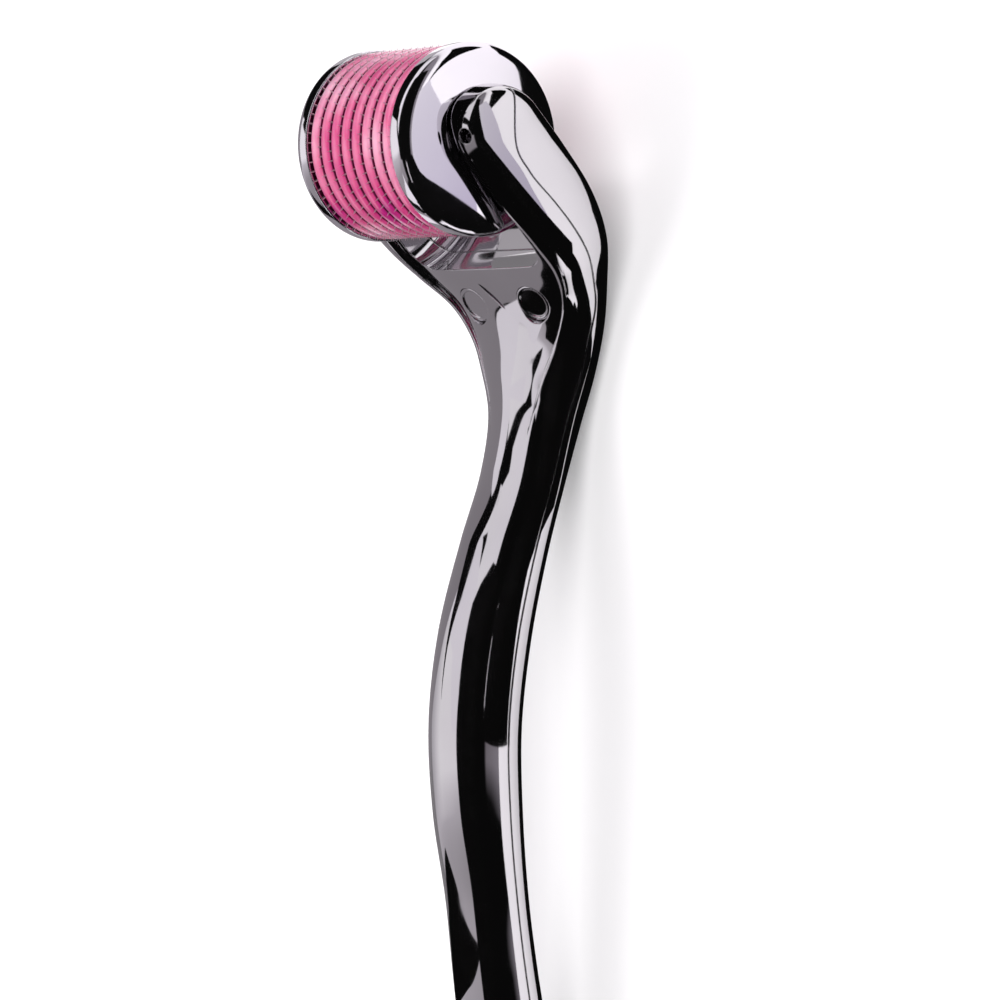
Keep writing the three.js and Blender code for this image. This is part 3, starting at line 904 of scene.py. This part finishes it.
def floor_flags():
    """Black under the roller, a painted shadow of the floor beneath it that only the polish sees, beside
    its neck and ahead of it on the right; grey along its left.
    """
    under = [(-300, -8), (-110, -7.5), (-60, -7.5), (-40, -7.5), (-26, -10), (-16, -15), (-8, -20)]
    under += [(0, -19), (5, -24), (22, -24), (30, -13), (30, -2), (-4, -2), (-5, 7), (-300, 6)]
    beside = [(-22, -14), (-22, -70), (-56, -70), (-46, -22), (-42, -8), (-26, -10)]
    ahead = [(35, -110), (110, -110), (110, -20), (35, -20)]
    left = [(-300, 9), (20, 9), (20, 118), (-300, 118)]
    # The card under the roller is painted shadow: it stands for the shaded floor beneath the handle in the
    # plating's reflections.
    level_flag("flag_painted_shadow_under", under, CARD_FLOOR, BLACK)
    level_flag("flag_beside_neck", beside, CARD_FLOOR, BLACK)
    level_flag("flag_saddle", ahead, CARD_FLOOR, BLACK)
    level_flag("flag_left", left, CARD_FLOOR, GREY)


def left_flags():
    """Upright cards left of the roller: greys near the floor, black ahead, a thin line, a light."""
    low = CARD_FLOOR
    horizon = [(-400, low), (90, low), (90, 6), (-400, 6)]
    upright_flag("flag_horizon", 120, horizon, GREY)
    neck = [(-74, low), (-12, low), (-12, 7.5), (-38, 7.5), (-56, 3), (-74, -4)]
    upright_flag("flag_neck", 30, neck, NECK_GREY)
    rim = [(-22, low), (18, low), (18, 30), (6, 33), (-10, 30), (-10, 8), (-22, 8)]
    upright_flag("flag_rim", 45, rim, RIM_GREY)
    upright_flag("flag_behind", 45, [(18, -4), (90, -4), (90, 50), (18, 50)], BLACK)
    upright_flag("flag_behind_low", 45, [(18, low), (90, low), (90, -4), (18, -4)], LOW_GREY)
    # A thin black strip, for the dark line along the neck and the handle.
    line = [(-26, 6.5), (-36.5, 3), (-43.3, 7.3), (-52, 9.4), (-61.6, 12.5)]
    line += [(-61.6, 12.8), (-52, 11.8), (-41, 13.3), (-32.5, 11.3), (-21.6, 14.5), (-15, 17), (-15, 9)]
    upright_flag("flag_line", 29.5, line, BLACK)
    light = [(-28.5, 8), (-28.5, 45), (-68, 45), (-68, 30), (-51, 19), (-47, 5), (-37, 5)]
    upright_flag("flag_handle_light", 31, light, WHITE)
    # This one hides the strip from the hollow of the neck.
    cover = [(-32.5, -3), (-17, -2.8), (-17, 3.2), (-25, 2.6), (-29, 1.1), (-32.5, -0.5)]
    upright_flag("flag_line_cover", 15, cover, WHITE)


def tail_flags():
    """Black cards that stand across the roller's length, right of the neck and left of the tail."""
    low = CARD_FLOOR
    flag("flag_tail", [(-40, -20, low), (-40, -90, low), (-40, -90, 45), (-40, -20, 45)], BLACK)
    flag("flag_far_tail", [(-100, 12, low), (-100, 75, low), (-100, 75, 22), (-100, 12, 22)], BLACK)


def overhead_flags():
    """Black over the drum and over the handle, and a white card right of the neck."""
    top = [(-10, -95, 25), (120, -95, 25), (120, 12, 75), (-25, 12, 75)]
    flag("flag_top", top, BLACK)
    handle = [(-34, -6), (-32.5, 6), (-36, 15), (-40, 19), (-60, 15), (-300, 15), (-300, -12), (-60, -12)]
    level_flag("flag_over_handle", handle, 20, BLACK)
    white = [(-53, 14), (-45, 3), (-37, -0.5), (-30, 6), (-22.7, 16), (-22, 60), (-60, 60), (-58, 30)]
    upright_flag("flag_neck_light", -40, white, WHITE)


def cap_flags():
    """Upright cards right of the drum, black and lilac, for its right cap."""
    black = [(-3.5, 30), (-3.5, 10), (-4.9, 4.9), (-12.7, -11.5), (-16, -19), (-70, -19), (-70, 30)]
    upright_flag("flag_cap", -25, black, BLACK)
    lilac = [(-12, -10), (-4, -7), (0, -4), (5, -1.5), (12, 2), (12, 9), (-12, 9)]
    upright_flag("flag_lilac", -26, lilac, DEEP_LILAC, PALE_LILAC)


def make_flags():
    floor_flags()
    left_flags()
    tail_flags()
    overhead_flags()
    cap_flags()


def soft_light(name, place, size, power):
    """A broad light for matt surfaces; the plating reflects the studio round it instead."""
    data = bpy.data.lights.new(name, "AREA")
    data.shape = "DISK"
    data.size = size
    data.energy = power
    light = bpy.data.objects.new(name, data)
    bpy.context.scene.collection.objects.link(light)
    light.location = place
    light.rotation_mode = "QUATERNION"
    light.rotation_quaternion = (Vector(place) - AXLE).to_track_quat("Z", "Y")
    light.visible_glossy = False


def make_world():
    """The studio round the roller, in bands of light and dark that run along the handle."""
    world = bpy.data.worlds.new("studio")
    bpy.context.scene.world = world
    world.use_nodes = True
    tree = world.node_tree
    place = tree.nodes.new("ShaderNodeTexCoord")
    parts = tree.nodes.new("ShaderNodeSeparateXYZ")
    tree.links.new(place.outputs["Generated"], parts.inputs["Vector"])
    along = parts.outputs["X"]
    toward_right = math_node(tree, "MULTIPLY", parts.outputs["Y"], -1)
    turn = math_node(tree, "DIVIDE", math_node(tree, "ARCTAN2", parts.outputs["Z"], toward_right), math.pi)
    ramp = tree.nodes.new("ShaderNodeValToRGB")
    set_stops(ramp, [
        (0.0, (0.30, 0.28, 0.31)),
        (0.27, (0.22, 0.20, 0.22)),
        (0.31, BLACK),
        (0.49, BLACK),
        (0.51, WHITE),
        (0.84, (1.0, 0.98, 1.0)),
        (0.93, (0.62, 0.60, 0.63)),
        (1.0, (0.45, 0.43, 0.46)),
    ])
    tree.links.new(turn, ramp.inputs["Fac"])
    # A dark line that starts in a point, moves over to the left and ends at the head.
    bend = map_range(tree, along, *LINE_BEND)
    line_place = math_node(tree, "MULTIPLY_ADD", bend, LINE_SHIFT, LINE_TURN)
    from_line = math_node(tree, "ABSOLUTE", math_node(tree, "SUBTRACT", turn, line_place))
    growth = map_range(tree, along, *LINE_GROWTH)
    ending = map_range(tree, along, *LINE_ENDING)
    half_line = math_node(tree, "MULTIPLY", math_node(tree, "MULTIPLY", growth, ending), LINE_WIDTH / 2)
    line = map_range(tree, math_node(tree, "SUBTRACT", half_line, from_line), 0, LINE_SOFTNESS)
    lined = mix_node(tree, line, ramp.outputs["Color"], (*BLACK, 1))
    # Towards the tail the right half is dark and the left half fades from pale grey to black.
    tail = tree.nodes.new("ShaderNodeValToRGB")
    set_stops(tail, [
        (0.175, BLACK),
        (0.195, NECK_GREY),
        (0.31, (0.36, 0.34, 0.36)),
        (0.43, (0.72, 0.69, 0.73)),
    ])
    tree.links.new(map_range(tree, along, -1, 1), tail.inputs["Fac"])
    tail_side = mix_node(tree, map_range(tree, turn, *LIT_TURN), (*BLACK, 1), tail.outputs["Color"])
    result = mix_node(tree, map_range(tree, along, *TAIL_PART), lined, tail_side)
    tree.links.new(result, tree.nodes["Background"].inputs["Color"])


def make_stage():
    make_floor()
    make_flags()
    make_world()
    soft_light("key", (0.1, -0.5, 0.7), size=0.5, power=6)
    soft_light("fill", (-0.2, 0.5, 0.8), size=0.7, power=5)
    bpy.context.scene.view_settings.view_transform = "Standard"


# ------------------------------------------------------------------ assembly

make_camera()
make_stage()
chrome = plated("black_chrome_plating", (0.57, 0.55, 0.575), (0.63, 0.61, 0.635), roughness=0.045)
cap_plating = plated("cap_chrome_plating", (0.74, 0.71, 0.76), (0.80, 0.77, 0.82), roughness=0.05)
make_handle(chrome)
make_plugs(chrome)
make_spacers(clear_pink())
make_needle_rows(needle_steel())
make_caps(cap_plating)
paint_hidden_nodes()
